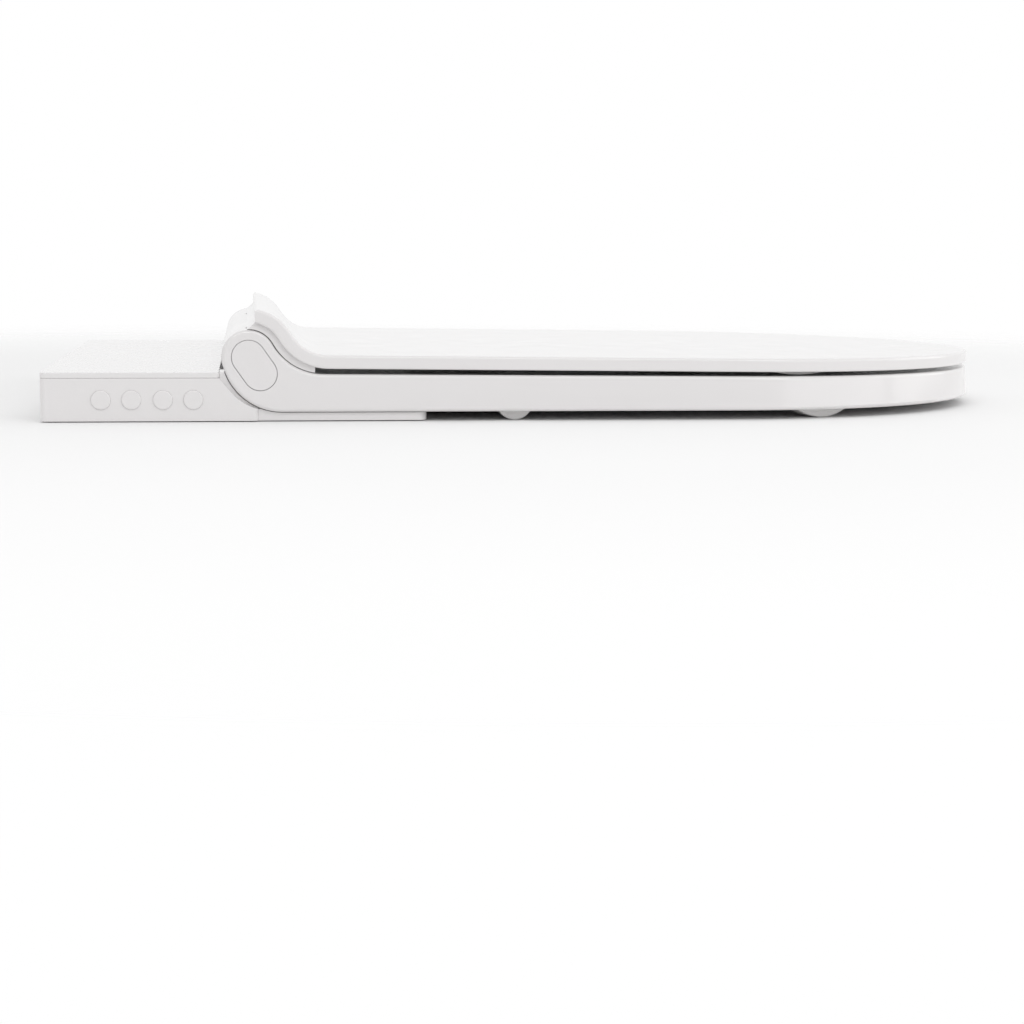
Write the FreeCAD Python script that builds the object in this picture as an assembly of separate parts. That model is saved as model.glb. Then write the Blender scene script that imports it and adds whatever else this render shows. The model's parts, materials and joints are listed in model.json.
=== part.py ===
"""Electric bidet seat: housing, hinged seat ring and lid, wash nozzle, dryer and controls.

Millimetres, +Z up, +X to the left of a seated user, front towards -Y. The origin is midway
between the two pan fixings, on the plane where the seat rests on the pan. Lengths called
"front" or f are measured forwards from the hinge axis, so y = HINGE_Y - f.
"""
import FreeCAD, Part
import math
import os
from FreeCAD import Vector

os.makedirs("parts", exist_ok=True)

# --- overall ---
WIDTH = 380.0
HALF = WIDTH / 2
HINGE_Y = -20.0
HINGE_Z = 37.1
RIM_START = 292.0          # where the straight sides turn into the round front

# --- hinge ---
BARREL_R = 15.6
BARREL_HALF = 75.5         # fixed middle barrel
KNUCKLE_IN = 76.0
KNUCKLE_OUT = 159.0
KNUCKLE_FLARE = 97.0       # degrees round the knuckle where its web starts at the back
KNUCKLE_HOLLOW = 1.2
ARM_IN = 159.6
PIN_R = 4.0
PIN_PLAY = 0.05
PIN_IN_ARM = 17.0
BUSH_WALL = 1.5
DAMPER_R = 9.0

# --- seat ring ---
RING_BOTTOM = 5.6
RING_TOP = 27.3            # at the back, where the flat top begins
RING_SLOPE = 0.006
RING_DRAFT = 0.07          # outer side, sideways per millimetre of height
RING_BOTTOM_HALF = 190.6
RING_WALL = 3.2
RING_EDGE = 2.0
ARM_TAIL_R = 34.5          # the arm's lower curve
ARM_TAIL = (19.0, RING_BOTTOM + ARM_TAIL_R)
ARM_NECK_R = 33.0
RING_BACK = 21.0
OPENING_HALF = 106.0
OPENING_BACK = 106.0
OPENING_CORNER = 62.0
OPENING_START = 300.0      # where its straight sides turn into the round front
OPENING_EDGE = 6.0
RING_FRONT = 502.0         # a cutting outline ends here, ahead of the whole seat
BRIDGE_HALF = 155.0        # the thin part of the ring that spans the nozzle
BRIDGE_FLOOR = 15.9
BRIDGE_SLOPE = 0.0437
PLATE_HEIGHTS = (RING_BOTTOM + 1.0, RING_BOTTOM + 3.0)
FOIL_THICK = 0.5
RING_SCREWS = ((168, 125), (150, 230), (148, 330), (120, 400))

# --- hinge caps in the arms' outer faces ---
CAP_LOW = (6.6, HINGE_Z - 9.4)
CAP_R = 9.6
CAP_DEPTH = 2.0
CAP_PLAY = 0.35

# --- rubber buffers, each as (x, front, length, turn) ---
RING_BUFFERS = ((176, 155.0, 19.0, 0.0), (166, 342.0, 36.0, -18.0))
LID_BUFFERS = ((171, 327.0, 33.0, -12.0),)
BUFFER_WIDTH = 11.0
BUFFER_EDGE = 0.8
LID_BUFFER_BOW = 1.6
BUFFER_CLEAR = 0.3         # from a closed lid's buffers to the ring

# --- lid ---
LID_HALF = 189.8
LID_THICK = 7.9
LID_TOP = 38.3
LID_SLOPE = 0.008
CURL_R = 27.9
CURL_NECK_R = 25.0
CURL_BACK = 3.8
LID_TOP_EDGE = 1.8
LID_EDGE = 1.2
LEDGE_FRONT = 38.0         # where the ledge over the ring's arm ends

# --- housing ---
HOUSING_BACK = -117.8
COVER_FRONT = -16.8
COVER_TOP = 28.5
COVER_THICK = 3.2
COVER_EDGE = 0.6
SEAM = 0.1
SEAM_EDGE = 0.3
WALL = 2.5
TOE = (5.5, 7.4)           # front corner of the side wall, as (front, height)
WAIST = (-8.6, 15.4)       # where the sloping front turns into a curve
WAIST_MIDDLE = (-2.4, 10.6)
HOUSING_CORNER = 3.0
TRAY_BOTTOM = 0.6
TRAY_TOP = 3.1
BASE_FRONT = 103.0
BASE_HALF = 187.5
BASE_CORNER = 6.0
ARM_GAP = 0.45             # from the ring's arm to the ledges of housing and lid around it
LEDGE_DEPTH = 3.0          # from the outer side in to the ledges
LEDGE_THICK = 4.5
SCREW_PLACES = ((-180, -108), (-175, -28), (-110, -30), (26, -111), (180, -110), (180, -44))
PAD_PLACES = ((-160, -90), (160, -90), (-160, 20), (160, 20), (0, 60), (-100, 85), (100, 85), (0, -90))
PAD_R = 8.0
PAD_THICK = 1.6

# --- front cover ---
FRONT_COVER_HALF = 150.0
FRONT_COVER_BACK = 7.0
FRONT_COVER_WALL = 2.0
BRIDGE_CLEAR = 1.2

# --- mounting plate and its release ---
PLATE_HALF = 102.0
PLATE_FRONTS = (-42.0, 2.0)
PLATE_THICK = 2.5
SLOT_X = 77.5
SLOT_R = 4.5
SLOT_LENGTH = 24.0
RELEASE_FRONTS = (-31.0, -19.0)
RELEASE_Z = (3.4, 8.4)

# --- inlets in the rear wall ---
INLET_X, INLET_Z, INLET_R = 152.0, 13.0, 8.33
GLAND_X, GLAND_Z = -150.0, 12.0
CORD_R = 3.6

# --- buttons in the right side ---
BUTTON_FRONTS = (-83.8, -66.6, -48.8, -31.6)
BUTTON_Z = 12.8
BUTTON_R = 5.6
BUTTON_RAISED = 0.9
BUTTON_GAP = 0.04
BUTTON_EDGE = 0.8

# --- electronics ---
KEYPAD_X = (-HALF + WALL + 5.5, -HALF + WALL + 6.3)
KEYPAD_FRONTS = (-94, -22)
KEYPAD_Z = (5, 20.5)
BOARD_THICK = 1.6
BOARD_TOP = TRAY_TOP + 3.6
POST_INSET = 4
CONTROL_X, CONTROL_FRONTS = (-106.0, -44.0), (-108.0, -50.0)
SUPPLY_X, SUPPLY_FRONTS = (-172.0, -112.0), (-102.0, -42.0)

# --- nozzle ---
NOZZLE_R = 4.0
NOZZLE_TIP = 100.0
NOZZLE_TIP_Z = 8.0
NOZZLE_TILT = 2.5
NOZZLE_REAR = -55.0
TOOTH_MODULE = 0.8
PINION_TEETH = 12
PINION_FRONT = 45.0
RACK_PITCH_X = 5.8
PITCH_R = PINION_TEETH * TOOTH_MODULE / 2
PINION_X = RACK_PITCH_X + PITCH_R
BACKLASH = 0.12

# --- dryer ---
FAN_X, FAN_FRONT = -8.0, -85.0
FAN_Z = (4.0, 20.0)
FAN_R = 27.0
FAN_WALL = 1.5
BLADES = 16
DUCT_X = (-40.0, -16.0)
DUCT_Z = (4.2, 11.0)
DUCT_BACK = -52.0


# --- helpers ---
def save(node, *solids):
    """Write one node's solids to its STEP file."""
    shape = solids[0] if len(solids) == 1 else Part.makeCompound(list(solids))
    shape.exportStep("parts/%s.step" % node)


def box(x, front, z):
    """A block between pairs of x, distance in front of the hinge, and height."""
    corner = Vector(x[0], HINGE_Y - front[1], z[0])
    return Part.makeBox(x[1] - x[0], front[1] - front[0], z[1] - z[0], corner)


def rod_x(radius, x, front, z):
    """A cylinder along X."""
    return Part.makeCylinder(radius, x[1] - x[0], Vector(x[0], HINGE_Y - front, z), Vector(1, 0, 0))


def rod_y(radius, x, front, z):
    """A cylinder along Y between two distances in front of the hinge."""
    start = Vector(x, HINGE_Y - front[1], z)
    return Part.makeCylinder(radius, front[1] - front[0], start, Vector(0, 1, 0))


def rod_z(radius, x, front, z):
    """A cylinder along Z."""
    return Part.makeCylinder(radius, z[1] - z[0], Vector(x, HINGE_Y - front, z[0]), Vector(0, 0, 1))


def polar(centre, radius, degrees):
    """A point on a circle in the side view: 0 degrees is forwards and 90 is up."""
    turn = math.radians(degrees)
    return centre[0] + radius * math.cos(turn), centre[1] + radius * math.sin(turn)


def angle_to(start, end):
    """Direction in degrees from one side-view point to another."""
    return math.degrees(math.atan2(end[1] - start[1], end[0] - start[0]))


def side_point(point, x):
    return Vector(x, HINGE_Y - point[0], point[1])


def side_line(start, end, x):
    return Part.LineSegment(side_point(start, x), side_point(end, x)).toShape()


def side_arc(centre, radius, first, last, x):
    """Arc in the side view from one angle to another, either way round."""
    angles = (first, (first + last) / 2, last)
    return Part.Arc(*[side_point(polar(centre, radius, a), x) for a in angles]).toShape()


def side_prism(edges, x):
    """Extrude a closed side-view outline from x[0] to x[1]; edges(x) draws it at x."""
    face = Part.Face(Part.Wire(edges(x[0])))
    return face.extrude(Vector(x[1] - x[0], 0, 0))


def side_polygon(points, x):
    """Extrude a straight-sided side-view outline from x[0] to x[1]."""
    corners = [side_point(p, x[0]) for p in points]
    face = Part.Face(Part.makePolygon(corners + corners[:1]))
    return face.extrude(Vector(x[1] - x[0], 0, 0))


def mirrored(shape):
    """The same piece on the other side of the seat."""
    return shape.mirror(Vector(0, 0, 0), Vector(1, 0, 0))


def rounded(shape, radius, wanted):
    """Round the edges that wanted(edge) picks."""
    edges = [e for e in shape.Edges if wanted(e)]
    return shape.makeFillet(radius, edges)


def is_upright(edge):
    return edge.BoundBox.XLength < 0.01 and edge.BoundBox.YLength < 0.01


def in_front_of(edge, front):
    """Whether the whole edge lies ahead of a distance in front of the hinge."""
    return HINGE_Y - edge.BoundBox.YMax > front


def plan_outline(half, back, start, z):
    """Straight sides with a half-round front: the outline shared by ring and lid."""
    y_back, y_start = HINGE_Y - back, HINGE_Y - start
    left_back, left = Vector(-half, y_back, z), Vector(-half, y_start, z)
    right, right_back = Vector(half, y_start, z), Vector(half, y_back, z)
    tip = Vector(0, y_start - half, z)
    return Part.Wire([
        Part.LineSegment(left_back, left).toShape(),
        Part.Arc(left, tip, right).toShape(),
        Part.LineSegment(right, right_back).toShape(),
        Part.LineSegment(right_back, left_back).toShape(),
    ])


def opening_outline(grow, z):
    """The ring's opening: round at the front, with large corners at the back."""
    half, corner = OPENING_HALF + grow, OPENING_CORNER + grow
    y_back = HINGE_Y - OPENING_BACK + grow
    y_start = HINGE_Y - OPENING_START
    y_side = y_back - corner
    inner = corner * (1 - math.sqrt(0.5))
    flat = half - corner
    return Part.Wire([
        Part.LineSegment(Vector(-flat, y_back, z), Vector(flat, y_back, z)).toShape(),
        Part.Arc(Vector(flat, y_back, z), Vector(half - inner, y_back - inner, z),
                 Vector(half, y_side, z)).toShape(),
        Part.LineSegment(Vector(half, y_side, z), Vector(half, y_start, z)).toShape(),
        Part.Arc(Vector(half, y_start, z), Vector(0, y_start - half, z),
                 Vector(-half, y_start, z)).toShape(),
        Part.LineSegment(Vector(-half, y_start, z), Vector(-half, y_side, z)).toShape(),
        Part.Arc(Vector(-half, y_side, z), Vector(inner - half, y_back - inner, z),
                 Vector(-flat, y_back, z)).toShape(),
    ])


def upright(outline, height):
    return Part.Face(outline).extrude(Vector(0, 0, height))


def tube(points, radius, bend):
    """A hose through points, with the same bend radius at each corner."""
    path, here = [], points[0]
    for before, corner, after in zip(points, points[1:], points[2:]):
        back = (before - corner).normalize()
        ahead = (after - corner).normalize()
        half_turn = back.getAngle(ahead) / 2
        reach = bend / math.tan(half_turn)
        start, end = corner + back * reach, corner + ahead * reach
        middle_way = (back + ahead).normalize()
        middle = corner + middle_way * (bend / math.sin(half_turn) - bend)
        path += [Part.LineSegment(here, start).toShape(), Part.Arc(start, middle, end).toShape()]
        here = end
    path.append(Part.LineSegment(here, points[-1]).toShape())
    section = Part.Wire([Part.makeCircle(radius, points[0], points[1] - points[0])])
    return Part.Wire(path).makePipeShell([section], True, False)


def at(x, front, z):
    """A point from x, distance in front of the hinge, and height."""
    return Vector(x, HINGE_Y - front, z)


HINGE = (0.0, HINGE_Z)


# --- seat ring ---
def ring_top_at(front):
    """Height of the ring's sloping flat top."""
    return RING_TOP - RING_SLOPE * (front - neck_centre()[0])


def neck_centre():
    """Centre of the hollow curve between the arm's round head and the flat top."""
    height = RING_TOP + ARM_NECK_R
    reach = math.sqrt((BARREL_R + ARM_NECK_R) ** 2 - (height - HINGE_Z) ** 2)
    return reach, height


def ring_side(x, grow=0.0):
    """Side view of the ring and its arm: head, tail curve, flat bottom, sloping top.

    grow leaves room over the head, the neck and the top.
    """
    gap = math.dist(HINGE, ARM_TAIL)
    tangent = angle_to(ARM_TAIL, HINGE) + math.degrees(math.acos((ARM_TAIL_R - BARREL_R) / gap))
    tangent %= 360
    neck = neck_centre()
    slope = math.degrees(math.atan(RING_SLOPE))
    neck_in = angle_to(neck, HINGE)
    neck_out = -90 - slope
    head_r, neck_r = BARREL_R + grow, ARM_NECK_R - grow
    top_start = polar(neck, neck_r, neck_out)
    top_end = (RING_FRONT, top_start[1] - RING_SLOPE * (RING_FRONT - top_start[0]))
    head_out = angle_to(HINGE, neck)
    return [
        side_arc(HINGE, head_r, head_out, tangent, x),
        side_line(polar(HINGE, head_r, tangent), polar(ARM_TAIL, ARM_TAIL_R, tangent), x),
        side_arc(ARM_TAIL, ARM_TAIL_R, tangent, 270, x),
        side_line((ARM_TAIL[0], RING_BOTTOM), (RING_FRONT, RING_BOTTOM), x),
        side_line((RING_FRONT, RING_BOTTOM), top_end, x),
        side_line(top_end, top_start, x),
        side_arc(neck, neck_r, neck_out, neck_in, x),
    ]


def ring_blank(inset=0.0):
    """Drafted outer shape of the ring, from its bottom to above the arms."""
    top = HINGE_Z + BARREL_R + 2
    shrink = RING_DRAFT * (top - RING_BOTTOM)
    wide = plan_outline(RING_BOTTOM_HALF - inset, -20, RIM_START, RING_BOTTOM)
    narrow = plan_outline(RING_BOTTOM_HALF - shrink - inset, -20, RIM_START, top)
    return Part.makeLoft([wide, narrow], True, True)


def bridge_floor(front):
    """Height of the underside of the thin part that spans the nozzle."""
    return BRIDGE_FLOOR + BRIDGE_SLOPE * (OPENING_BACK - front)


def seat_ring():
    body = side_prism(ring_side, (-HALF - 5, HALF + 5)).common(ring_blank())
    body = body.cut(box((-ARM_IN, ARM_IN), (-40, RING_BACK), (0, 80)))
    bay = [(RING_BACK - 5, 0), (OPENING_BACK + 3, 0), (OPENING_BACK + 3, bridge_floor(OPENING_BACK)),
           (RING_BACK - 5, bridge_floor(RING_BACK))]
    body = body.cut(side_polygon(bay, (-BRIDGE_HALF, BRIDGE_HALF)))
    body = body.cut(upright(opening_outline(0, 0), 60))
    body = round_ring_edges(body)
    body = body.cut(ring_cavity())
    bore = rod_x(PIN_R + PIN_PLAY, (ARM_IN - 1, ARM_IN + PIN_IN_ARM + 1), 0, HINGE_Z)
    pocket = hinge_cap(CAP_PLAY, CAP_DEPTH + 0.2)
    return body.cut([bore, mirrored(bore), pocket, mirrored(pocket)])


def half_width(edge):
    """Distance of an edge's outermost point from the middle of the seat."""
    return max(abs(edge.BoundBox.XMin), abs(edge.BoundBox.XMax))


def round_ring_edges(body):
    def outer(edge):
        """The long top and bottom edges of the ring's outer side, round the arms too."""
        extent = edge.BoundBox
        across = extent.XLength > 12 and extent.YLength < 1
        end_of_side = extent.ZLength > 15 and extent.YLength < 3
        wide = half_width(edge) > HALF - 6
        return wide and not across and not end_of_side and extent.DiagonalLength > 8

    def inner_top(edge):
        inside = half_width(edge) < OPENING_HALF + 1
        return inside and in_front_of(edge, OPENING_BACK - 1) and edge.BoundBox.ZMin > 20

    body = rounded(body, RING_EDGE, outer)
    return rounded(body, OPENING_EDGE, inner_top)


def ring_cavity():
    """Hollow inside the ring, open at the bottom, ahead of the nozzle bridge."""
    outer = upright(plan_outline(RING_BOTTOM_HALF - 5.0, 50, RIM_START, 0), 40)
    outer = outer.cut(upright(opening_outline(4.0, 0), 40))
    outer = outer.cut(box((-159, 159), (0, OPENING_BACK + 3), (0, 40)))
    back = ARM_TAIL[0] + 21
    under_top = [(back, 0), (RING_FRONT, 0), (RING_FRONT, ring_top_at(RING_FRONT) - RING_WALL),
                 (back, ring_top_at(back) - RING_WALL)]
    return outer.common(side_polygon(under_top, (-HALF, HALF)))


def ring_underside():
    """Plate that closes the ring's hollow, set a little up into it."""
    plate = ring_cavity().common(box((-HALF, HALF), (0, RING_FRONT), PLATE_HEIGHTS))
    for x, front in ring_screw_places():
        plate = plate.cut(rod_z(1.7, x, front, (0, 20)))
    return plate


def ring_screw_places():
    return [(side * x, front) for x, front in RING_SCREWS for side in (-1, 1)]


def ring_screws():
    screws = []
    for x, front in ring_screw_places():
        head = rod_z(3.0, x, front, (RING_BOTTOM + 0.2, PLATE_HEIGHTS[0]))
        screws.append(head.fuse(rod_z(1.5, x, front, (PLATE_HEIGHTS[0], RING_BOTTOM + 10))))
    return screws


def seat_heater():
    """Heating foil glued under the ring's top."""
    back, front = 60, 470
    high, low = ring_top_at(back) - RING_WALL, ring_top_at(front) - RING_WALL
    slab = [(back, high), (front, low), (front, low - FOIL_THICK), (back, high - FOIL_THICK)]
    band = upright(plan_outline(RING_BOTTOM_HALF - 16, 112, RIM_START, 0), 40)
    band = band.cut(upright(opening_outline(14, 0), 40))
    return side_polygon(slab, (-HALF, HALF)).common(band)


def buffer_pad(length, width, z, visible):
    """Rubber buffer along Y, centred on the origin: a bowed foot, visible tall, on a straight stem."""
    radius = (length ** 2 / 4 + visible ** 2) / (2 * visible)
    stem = Part.makeBox(width, length, z[1] - z[0], Vector(-width / 2, -length / 2, z[0]))
    bow = Part.makeCylinder(radius, width, Vector(-width / 2, 0, z[0] + radius), Vector(1, 0, 0))

    def bowed(edge):
        return edge.BoundBox.XLength < 0.01 and edge.Curve.TypeId == "Part::GeomCircle"

    return rounded(stem.common(bow), BUFFER_EDGE, bowed)


def placed(shape, x, front, turn):
    """Turn a piece about Z and move it to its place."""
    copy = shape.copy()
    copy.rotate(Vector(0, 0, 0), Vector(0, 0, 1), turn)
    copy.translate(Vector(x, HINGE_Y - front, 0))
    return copy


def ring_buffers():
    """Four buffers under the ring that rest on the pan."""
    pads = []
    for x, front, length, turn in RING_BUFFERS:
        pad = buffer_pad(length, BUFFER_WIDTH, (0.0, RING_BOTTOM + 1.0), RING_BOTTOM)
        for side in (-1, 1):
            pads.append(placed(pad, side * x, front, side * turn))
    return pads


def hinge_cap(grow=0.0, depth=CAP_DEPTH):
    """Flush pill-shaped cap in the left arm's outer face, leaning back like the arm."""
    top, low, radius = HINGE, CAP_LOW, CAP_R + grow
    lean = angle_to(top, low) + 90
    face_x = ring_face_x((top[1] + low[1]) / 2) - depth

    def outline(x):
        return [
            side_arc(top, radius, lean, lean + 180, x),
            side_line(polar(top, radius, lean + 180), polar(low, radius, lean + 180), x),
            side_arc(low, radius, lean + 180, lean + 360, x),
            side_line(polar(low, radius, lean), polar(top, radius, lean), x),
        ]

    return side_prism(outline, (face_x, HALF + 5))


def hinge_caps():
    cap = hinge_cap().common(ring_blank())
    return [cap, mirrored(cap)]


def ring_face_x(z):
    """Half width of the drafted ring side at a height."""
    return RING_BOTTOM_HALF - RING_DRAFT * (z - RING_BOTTOM)


# --- lid ---
def lid_neck():
    """Centre of the hollow curve between the lid's curl and its flat."""
    height = LID_TOP + CURL_NECK_R
    reach = math.sqrt((CURL_R + CURL_NECK_R) ** 2 - (height - HINGE_Z) ** 2)
    return reach, height


def lid_side(x):
    """Side view of the lid: a curl over the hinge that runs out into the sloping flat."""
    neck = lid_neck()
    inner_r, under_r = CURL_R - LID_THICK, CURL_NECK_R + LID_THICK
    slope = math.degrees(math.atan(LID_SLOPE))
    meet = angle_to(HINGE, neck)
    top_back = math.degrees(math.acos(CURL_BACK / CURL_R))
    under_back = math.degrees(math.acos(CURL_BACK / inner_r))
    top_start = polar(neck, CURL_NECK_R, -90 - slope)
    under_start = polar(neck, under_r, -90 - slope)
    top_end = (RING_FRONT, top_start[1] - LID_SLOPE * (RING_FRONT - top_start[0]))
    under_end = (RING_FRONT, under_start[1] - LID_SLOPE * (RING_FRONT - under_start[0]))
    return [
        side_arc(HINGE, CURL_R, top_back, meet, x),
        side_arc(neck, CURL_NECK_R, meet - 180, -90 - slope, x),
        side_line(top_start, top_end, x),
        side_line(top_end, under_end, x),
        side_line(under_end, under_start, x),
        side_arc(neck, under_r, -90 - slope, meet - 180, x),
        side_arc(HINGE, inner_r, meet, under_back, x),
        side_line(polar(HINGE, inner_r, under_back), polar(HINGE, CURL_R, top_back), x),
    ]


def lid_under_at(front):
    """Height of the lid's flat underside."""
    return LID_TOP - LID_THICK - LID_SLOPE * (front - lid_neck()[0])


def under_lid(x, neck_end, corner):
    """Fill under the lid from x[0] to x[1]: from the curl's back edge to an angle on the neck.

    The back is hollowed between the curl's edge and the knuckle, and the bottom runs
    through the hinge and a corner point.
    """
    into_lid = 0.5
    curl_r, neck_r = CURL_R - LID_THICK + into_lid, CURL_NECK_R + LID_THICK - into_lid
    neck = lid_neck()
    meet = angle_to(HINGE, neck)
    back = math.degrees(math.acos(CURL_BACK / curl_r))
    waist_r = (curl_r + BARREL_R) / 2 - KNUCKLE_HOLLOW
    edge, foot = polar(HINGE, curl_r, back), polar(HINGE, BARREL_R, KNUCKLE_FLARE)
    waist = polar(HINGE, waist_r, (back + KNUCKLE_FLARE) / 2)

    def outline(at_x):
        hollow = Part.Arc(side_point(edge, at_x), side_point(waist, at_x), side_point(foot, at_x))
        return [
            side_arc(neck, neck_r, neck_end, meet + 180, at_x),
            side_line(polar(neck, neck_r, meet + 180), polar(HINGE, curl_r, meet), at_x),
            side_arc(HINGE, curl_r, meet, back, at_x),
            hollow.toShape(),
            side_line(foot, HINGE, at_x),
            side_line(HINGE, corner, at_x),
            side_line(corner, polar(neck, neck_r, neck_end), at_x),
        ]

    return side_prism(outline, x)


def hinge_web(x):
    """Web under the curl from x[0] to x[1], down to the level of the hinge."""
    neck = lid_neck()
    level = 180 + math.degrees(math.asin((neck[1] - HINGE_Z) / (CURL_NECK_R + LID_THICK)))
    return under_lid(x, level, (BARREL_R, HINGE_Z - 0.5))


def knuckle():
    """Round left knuckle of the lid, with a web that joins it to the curl above."""
    x = (KNUCKLE_IN, KNUCKLE_OUT)
    return rod_x(BARREL_R, x, 0, HINGE_Z).fuse(hinge_web(x))


def barrel_web():
    """Web between the knuckles that closes the curl over the fixed barrel."""
    room = rod_x(BARREL_R + ARM_GAP, (-KNUCKLE_IN, KNUCKLE_IN), 0, HINGE_Z)
    return hinge_web((-KNUCKLE_IN, KNUCKLE_IN)).cut(room)


def arm_ledge():
    """Ledge under the lid that follows the ring's left arm closely, set in from the lid's side."""
    x = (ARM_IN + 1, LID_HALF - LEDGE_DEPTH)
    neck = lid_neck()
    end = 180 + math.degrees(math.acos((neck[0] - LEDGE_FRONT) / (CURL_NECK_R + LID_THICK)))
    fill = under_lid(x, end, (LEDGE_FRONT, RING_TOP - 1))
    return fill.cut(side_prism(lambda at_x: ring_side(at_x, ARM_GAP), (x[0] - 1, x[1] + 1)))


def lid():
    plan = upright(plan_outline(LID_HALF, -20, RIM_START, 20), 60)
    body = side_prism(lid_side, (-HALF - 5, HALF + 5)).common(plan)
    body = round_lid_edges(body)
    for piece in (knuckle(), arm_ledge()):
        body = body.fuse([piece, mirrored(piece)])
    body = body.fuse(barrel_web())
    pin_bore = rod_x(PIN_R + BUSH_WALL, (KNUCKLE_IN - 1, KNUCKLE_OUT + 1), 0, HINGE_Z)
    far_bore = rod_x(PIN_R + BUSH_WALL, (-KNUCKLE_OUT - 1, -140), 0, HINGE_Z)
    damper_bore = rod_x(DAMPER_R + PIN_PLAY, (-146, -KNUCKLE_IN + 1), 0, HINGE_Z)
    return body.cut([damper_bore, far_bore, pin_bore])


def round_lid_edges(body):
    def is_seam(edge):
        """Edges across the lid where its curves meet smoothly."""
        extent = edge.BoundBox
        at_back = HINGE_Y - extent.YMax < CURL_BACK + 0.1 and extent.YLength < 0.1
        return extent.XLength > 300 and extent.YLength < 1 and not at_back

    def is_upper(edge):
        """Edges of the upper face: above the middle of the lid's thickness."""
        middle = edge.valueAt((edge.FirstParameter + edge.LastParameter) / 2)
        front, neck = HINGE_Y - middle.y, lid_neck()
        if front < neck[0] * 0.5:
            return math.dist((front, middle.z), HINGE) > CURL_R - LID_THICK / 2
        if front < neck[0]:
            return math.dist((front, middle.z), neck) < CURL_NECK_R + LID_THICK / 2
        return middle.z > lid_under_at(front) + LID_THICK / 2

    body = rounded(body, LID_TOP_EDGE, lambda e: not is_seam(e) and is_upper(e))
    return rounded(body, LID_EDGE, lambda e: not is_seam(e) and not is_upper(e)
                   and e.BoundBox.DiagonalLength > 9)


def lid_buffers():
    """Buffers on the lid's underside that land on the ring."""
    pads = []
    for x, front, length, turn in LID_BUFFERS:
        low = ring_top_at(front - length / 2) + BUFFER_CLEAR
        high = lid_under_at(front + length / 2)
        pad = buffer_pad(length, BUFFER_WIDTH, (low, high), LID_BUFFER_BOW)
        for side in (-1, 1):
            pads.append(placed(pad, side * x, front, side * turn))
    return pads


# --- hinge shafts and dampers ---
def seat_hinge_shaft():
    """Turns with the ring: from the left arm through the lid knuckle into the seat damper."""
    return rod_x(PIN_R, (20, ARM_IN + PIN_IN_ARM), 0, HINGE_Z)


def lid_hinge_pin():
    """Fixed in the barrel: through the lid damper and knuckle into the right arm."""
    return rod_x(PIN_R, (-ARM_IN - PIN_IN_ARM, -30), 0, HINGE_Z)


def seat_damper():
    """Damper cartridge held in the fixed barrel, around the seat hinge shaft."""
    return rod_x(DAMPER_R, (18, 72), 0, HINGE_Z).cut(rod_x(PIN_R + PIN_PLAY, (19, 80), 0, HINGE_Z))


def lid_damper():
    """Damper cartridge held in the lid's right knuckle, around the lid hinge pin."""
    body = rod_x(DAMPER_R, (-145.8, -KNUCKLE_IN - 0.5), 0, HINGE_Z)
    return body.cut(rod_x(PIN_R + PIN_PLAY, (-150, -70), 0, HINGE_Z))


def lid_bushes():
    """Plain bushes in the lid's knuckles around the hinge shafts."""
    bushes = []
    for start, end in ((-KNUCKLE_OUT, -147), (KNUCKLE_IN, KNUCKLE_IN + 14), (KNUCKLE_OUT - 14, KNUCKLE_OUT)):
        bore = rod_x(PIN_R + PIN_PLAY, (start - 1, end + 1), 0, HINGE_Z)
        bushes.append(rod_x(PIN_R + BUSH_WALL, (start, end), 0, HINGE_Z).cut(bore))
    return bushes


def hinge_barrel():
    """Fixed middle barrel on two feet that stand on the tray."""
    body = rod_x(BARREL_R, (-BARREL_HALF, BARREL_HALF), 0, HINGE_Z)
    body = rounded(body, 0.8, lambda e: e.BoundBox.XLength < 0.01)
    body = body.cut(rod_x(DAMPER_R + PIN_PLAY, (17.5, BARREL_HALF + 1), 0, HINGE_Z))
    body = body.cut(rod_x(PIN_R, (-BARREL_HALF - 1, -30), 0, HINGE_Z))
    for side in (-1, 1):
        x = sorted((side * 54, side * 64))
        foot = box(x, (-9, 9), (TRAY_TOP, HINGE_Z - 10.5))
        body = body.fuse(foot)
    return body


# --- housing ---
HOUSING_TOP = COVER_TOP - COVER_THICK - SEAM


def housing_side(x):
    """Side view of the housing; its front follows the back of the ring's arm."""
    back, shoulder = HOUSING_BACK, (COVER_FRONT, HOUSING_TOP)
    return [
        side_line((back, TRAY_BOTTOM), (back, HOUSING_TOP), x),
        side_line((back, HOUSING_TOP), shoulder, x),
        side_line(shoulder, WAIST, x),
        Part.Arc(side_point(WAIST, x), side_point(WAIST_MIDDLE, x), side_point(TOE, x)).toShape(),
        side_line(TOE, (TOE[0], TRAY_BOTTOM), x),
        side_line((TOE[0], TRAY_BOTTOM), (back, TRAY_BOTTOM), x),
    ]


def housing_room(x):
    """Side view of the space inside the walls, which runs out past the top and the bottom."""
    over, down = 5.0, 1.8
    back = HOUSING_BACK + WALL
    shoulder, waist, middle, toe = [(front - WALL, z - down * (z < HOUSING_TOP)) for front, z in
                                    ((COVER_FRONT, HOUSING_TOP), WAIST, WAIST_MIDDLE, TOE)]
    return [
        side_line((back, -over), (back, HOUSING_TOP + over), x),
        side_line((back, HOUSING_TOP + over), (shoulder[0], HOUSING_TOP + over), x),
        side_line((shoulder[0], HOUSING_TOP + over), shoulder, x),
        side_line(shoulder, waist, x),
        Part.Arc(side_point(waist, x), side_point(middle, x), side_point(toe, x)).toShape(),
        side_line(toe, (toe[0], -over), x),
        side_line((toe[0], -over), (back, -over), x),
    ]


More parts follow.
